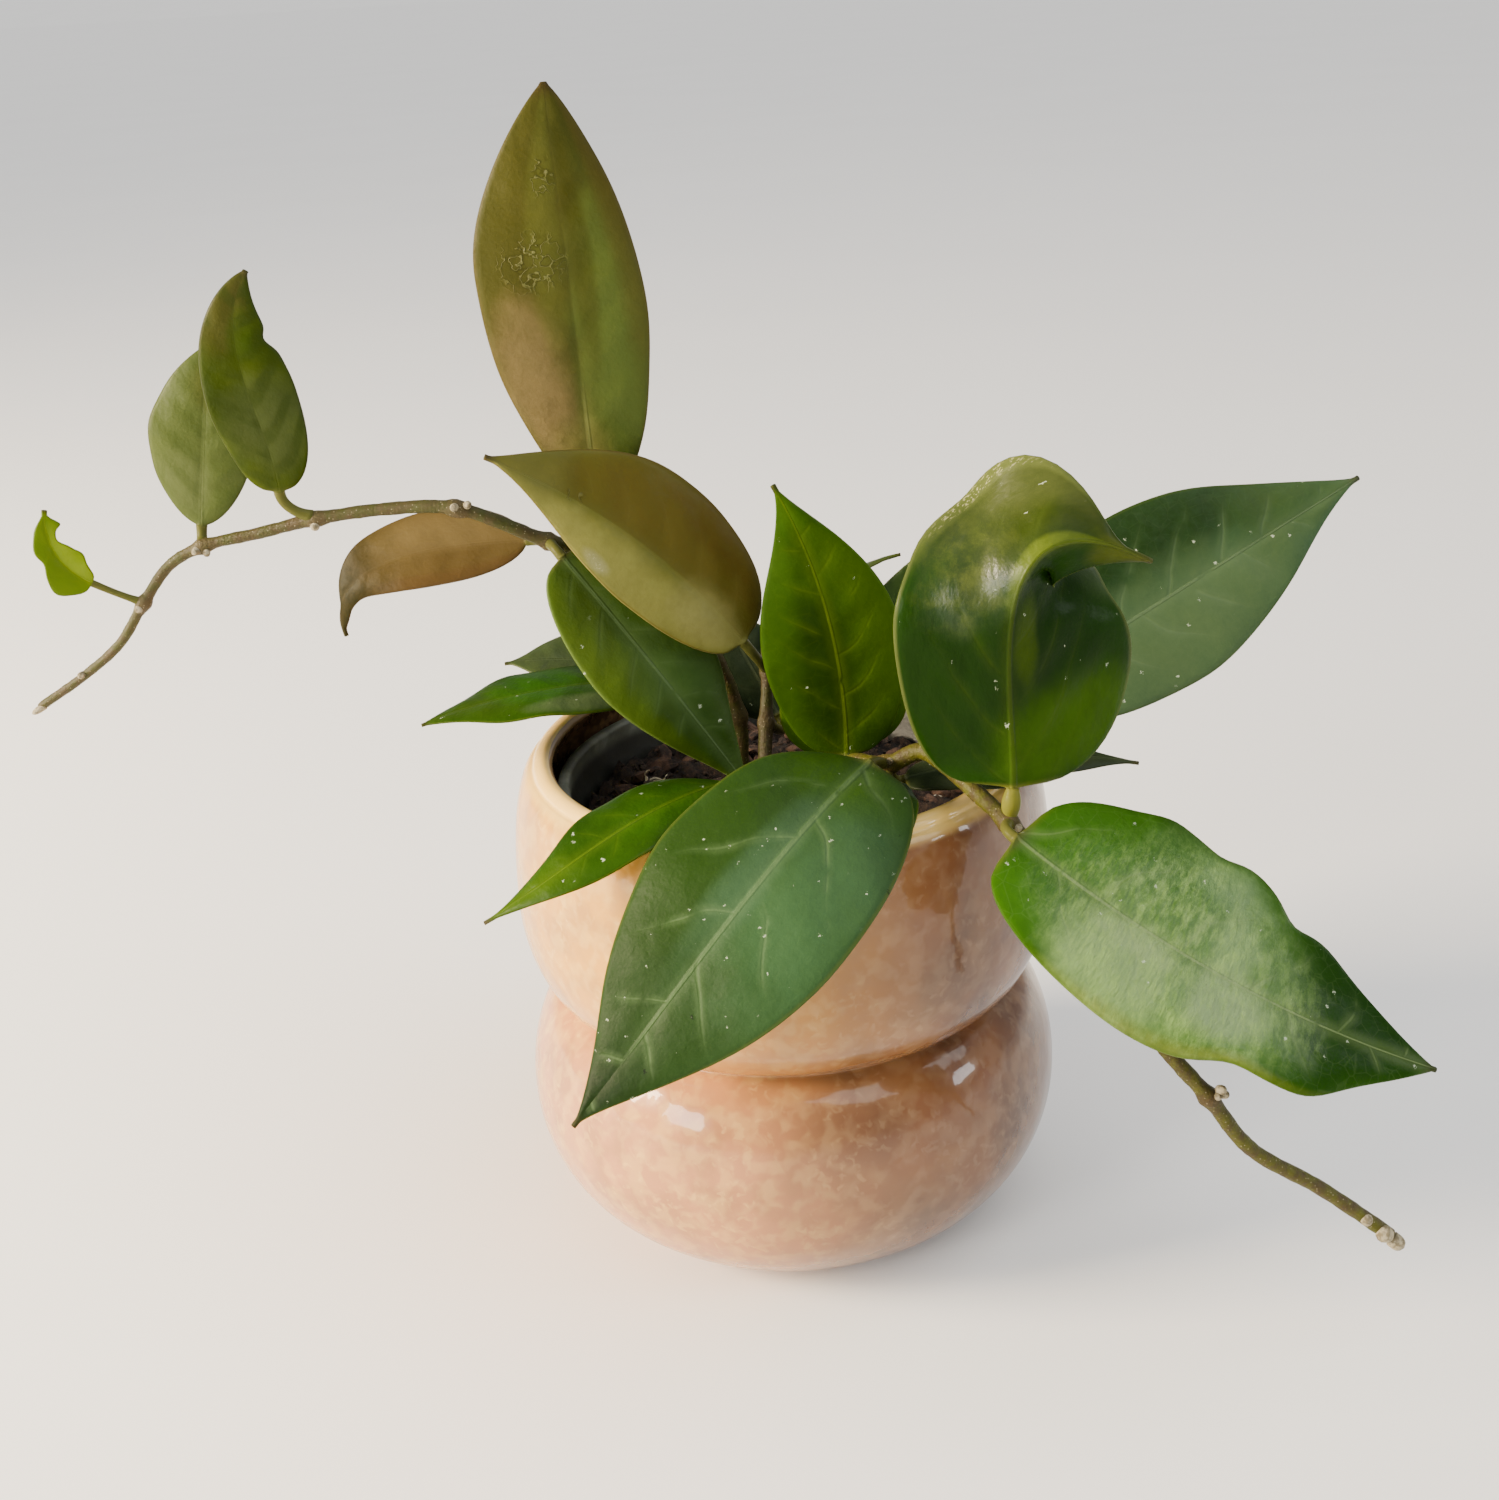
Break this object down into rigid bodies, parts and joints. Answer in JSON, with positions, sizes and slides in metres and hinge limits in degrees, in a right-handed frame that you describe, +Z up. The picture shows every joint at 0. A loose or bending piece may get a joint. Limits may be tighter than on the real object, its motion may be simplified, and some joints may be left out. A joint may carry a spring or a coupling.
{
  "type": "potted climbing plant",
  "caption": "Trailing houseplant with smooth oval drip-tip leaves in a plastic nursery pot, set in a double-bulge glazed cover pot with a flat base.",
  "frame": {"origin": "centre of the flat foot of the cover pot, on the surface it stands on", "axes": "+Z up; -Y the front, where the large leaf hangs over the rim; +X the right, where the thick vine hangs"},
  "size_m": [0.2957, 0.1473, 0.2511],
  "materials": {
    "glaze": "glossy mottled glaze",
    "nursery_plastic": "satin",
    "potting_mix": "rough damp bark mix",
    "stem": "smooth green-brown bark",
    "leaf": "waxy, half gloss"
  },
  "bodies": {
    "root": {"cover_pot": "glaze", "nursery_pot": "nursery_plastic", "soil": "potting_mix", "vine_left": "stem", "vine_right": "stem", "stem_middle": "stem", "stem_back": "stem", "leaf_01": "leaf", "leaf_02": "leaf", "leaf_03": "leaf", "leaf_04": "leaf", "leaf_05": "leaf", "leaf_06": "leaf", "leaf_07": "leaf", "leaf_08": "leaf", "leaf_09": "leaf", "leaf_10": "leaf", "leaf_11": "leaf", "leaf_12": "leaf", "leaf_13": "leaf", "leaf_14": "leaf", "leaf_15": "leaf", "leaf_16": "leaf", "leaf_17": "leaf", "leaf_18": "leaf", "leaf_19": "leaf", "leaf_20": "leaf", "leaf_21": "leaf"}
  },
  "joints": []
}
